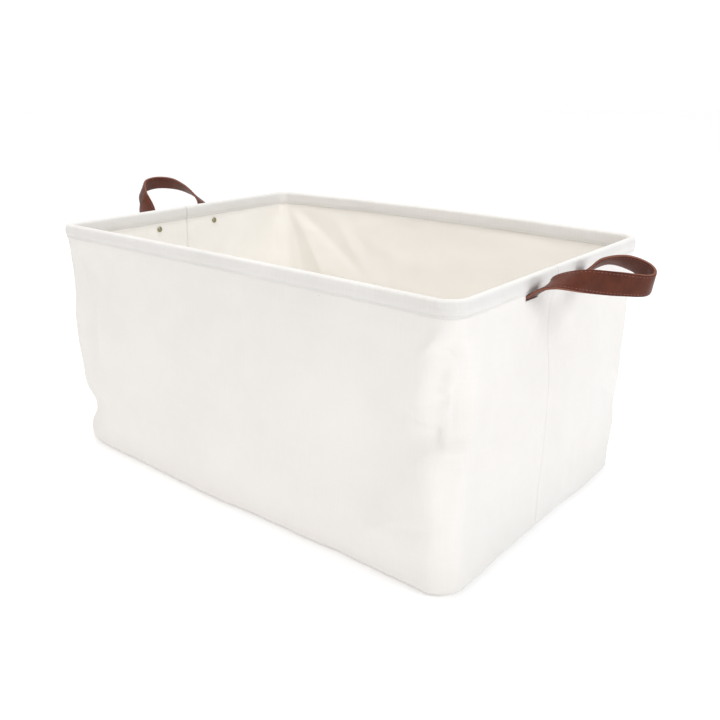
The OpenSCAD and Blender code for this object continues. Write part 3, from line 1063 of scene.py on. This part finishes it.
def rivet_cap(name, side, end):
    """A shallow dome with a rolled lip, open at the back where the post is pressed in."""
    half_section = [(0.0019, 0.0008), (0.0019, 0.0002), (0.0032, 0.0), (0.0038, 0.00015), (0.0040, 0.0005),
                    (0.0039, 0.0009), (0.0034, 0.00125), (0.0026, 0.00165), (0.0014, 0.00195), (0.0, 0.00205)]
    bm = bmesh.new()
    verts = [bm.verts.new((0, r, h)) for r, h in half_section]
    edges = [bm.edges.new(pair) for pair in zip(verts, verts[1:])]
    bmesh.ops.spin(bm, geom=verts + edges, cent=(0, 0, 0), axis=(0, 0, 1), angle=2 * math.pi, steps=28,
                   use_merge=True)
    bmesh.ops.remove_doubles(bm, verts=bm.verts, dist=1e-6)
    rims = [e for e in bm.edges if e.is_boundary]
    bmesh.ops.holes_fill(bm, edges=rims, sides=0)
    bmesh.ops.recalc_face_normals(bm, faces=bm.faces)
    inwards = Matrix.Rotation(math.radians(90 * -side), 4, "Y")
    place = Matrix.Translation((side * (BIN_L / 2 - BAND_LEG_IN), SEAM_Y[side] + end * ROOT_HALF, RIVET_Z))
    bmesh.ops.transform(bm, matrix=place @ inwards, verts=bm.verts)
    obj = piece(name, bm, BRASS)
    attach(obj, "bin")
    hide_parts(name.replace("_dome", "_rivet_cap"))


for (side, end) in ROOTS:
    rivet_cap(f"{HANDLES[side]}_{'front' if end == FRONT else 'back'}_dome", side, end)

# ---- Sewing on the canvas ----


def sewn_line(bm, start, length, pitch, place_of, stitch, radius):
    """Stitches along the outline. place_of gives a stitch's middle and the way it faces."""
    count = round(abs(length) / pitch)
    for k in range(count):
        s = start + (k + 0.5) * pitch
        place, out = place_of(s)
        ahead, _ = place_of(s + 0.0005)
        along = (ahead - place).normalized()
        add_stitch(bm, place, along, out, stitch, radius)


def band_sewing(name, start, end):
    """The two rows that hold the band, one outside and one inside."""
    length = near(end, start) % ROUND
    bm = bmesh.new()

    def outside(s):
        deep, z = band_place(BAND_ROW_IN)
        return rim_point(s, deep - 0.0001, z), outline(s)[1]

    def inside(s):
        deep, z = band_place(OUT_LEG + ROLL_ARC + IN_LEG - BAND_ROW_IN)
        return rim_point(s, deep + 0.0001, z), -outline(s)[1]

    for row in (outside, inside):
        sewn_line(bm, start + 0.002, length - 0.004, 0.0034, row, 0.0027, 0.00028)
    return piece(name, bm, WHITE_THREAD)


band_front_sewing = band_sewing("band_front_sewing", LEFT_SEAM, RIGHT_SEAM)
band_back_sewing = band_sewing("band_back_sewing", RIGHT_SEAM, LEFT_SEAM)

# ---- What rides on what ----

for obj, nodes, slot in (
    (panels["canvas", "front"][0], ["outer_front_panel"], "canvas"),
    (panels["canvas", "back"][0], ["outer_back_panel"], "canvas"),
    (canvas_base, ["outer_base"], "canvas"),
    (panels["lining", "front"][0], ["lining_front_panel"], "lining"),
    (panels["lining", "back"][0], ["lining_back_panel"], "lining"),
    (lining_bottom, ["lining_base"], "lining"),
    (band_front, ["rim_band_front"], "rim_band"),
    (band_back, ["rim_band_back"], "rim_band"),
    (band_front_sewing, [], "rim_band"),
    (band_back_sewing, [], "rim_band"),
    (wire, ["rim_wire"], "wire"),
    (sleeve, ["wire_sleeve"], "wire"),
):
    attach(obj, "bin")
    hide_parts(*nodes)

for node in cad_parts.values():
    if node.name.endswith("_rivet_post"):
        for slot in node.material_slots:
            slot.material = BRASS

for layer in ("canvas", "lining"):
    for half in ("front", "back"):
        obj, cut = panels[layer, half]

# ---- Floor ----

bm = bmesh.new()
bmesh.ops.create_grid(bm, x_segments=2, y_segments=2, size=12)
floor = piece("floor", bm, floor_finish())
